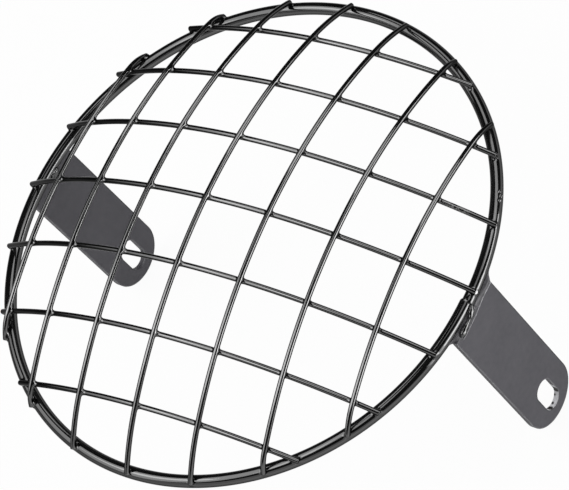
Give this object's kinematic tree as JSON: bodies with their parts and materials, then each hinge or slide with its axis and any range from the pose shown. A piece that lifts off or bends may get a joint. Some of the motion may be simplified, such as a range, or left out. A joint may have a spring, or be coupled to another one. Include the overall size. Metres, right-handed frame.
{
  "type": "headlight grille",
  "caption": "Round domed wire-mesh grille for a headlamp: crossed wires welded to a bar rim, with flat slotted side brackets that bolt it over the lamp.",
  "frame": {"origin": "half way between the two brackets, on the line through the middles of their bolt slots", "axes": "+X along the bolt slots' line towards the right-hand bracket, +Z forward through the crown of the dome, +Y across"},
  "size_m": [0.1975, 0.1947, 0.1159],
  "materials": {
    "black_gloss": "gloss",
    "grey_satin": "satin"
  },
  "bodies": {
    "root": {"rim": "black_gloss", "upper_wire_1": "black_gloss", "upper_wire_2": "black_gloss", "upper_wire_3": "black_gloss", "upper_wire_4": "black_gloss", "upper_wire_5": "black_gloss", "upper_wire_6": "black_gloss", "upper_wire_7": "black_gloss", "lower_wire_1": "black_gloss", "lower_wire_2": "black_gloss", "lower_wire_3": "black_gloss", "lower_wire_4": "black_gloss", "lower_wire_5": "black_gloss", "lower_wire_6": "black_gloss", "lower_wire_7": "black_gloss", "left_inner_weld": "black_gloss", "right_inner_weld": "black_gloss", "rim_joint_weld": "black_gloss", "left_bracket": "grey_satin", "right_bracket": "grey_satin", "left_outer_weld": "grey_satin", "right_outer_weld": "grey_satin"}
  },
  "joints": []
}
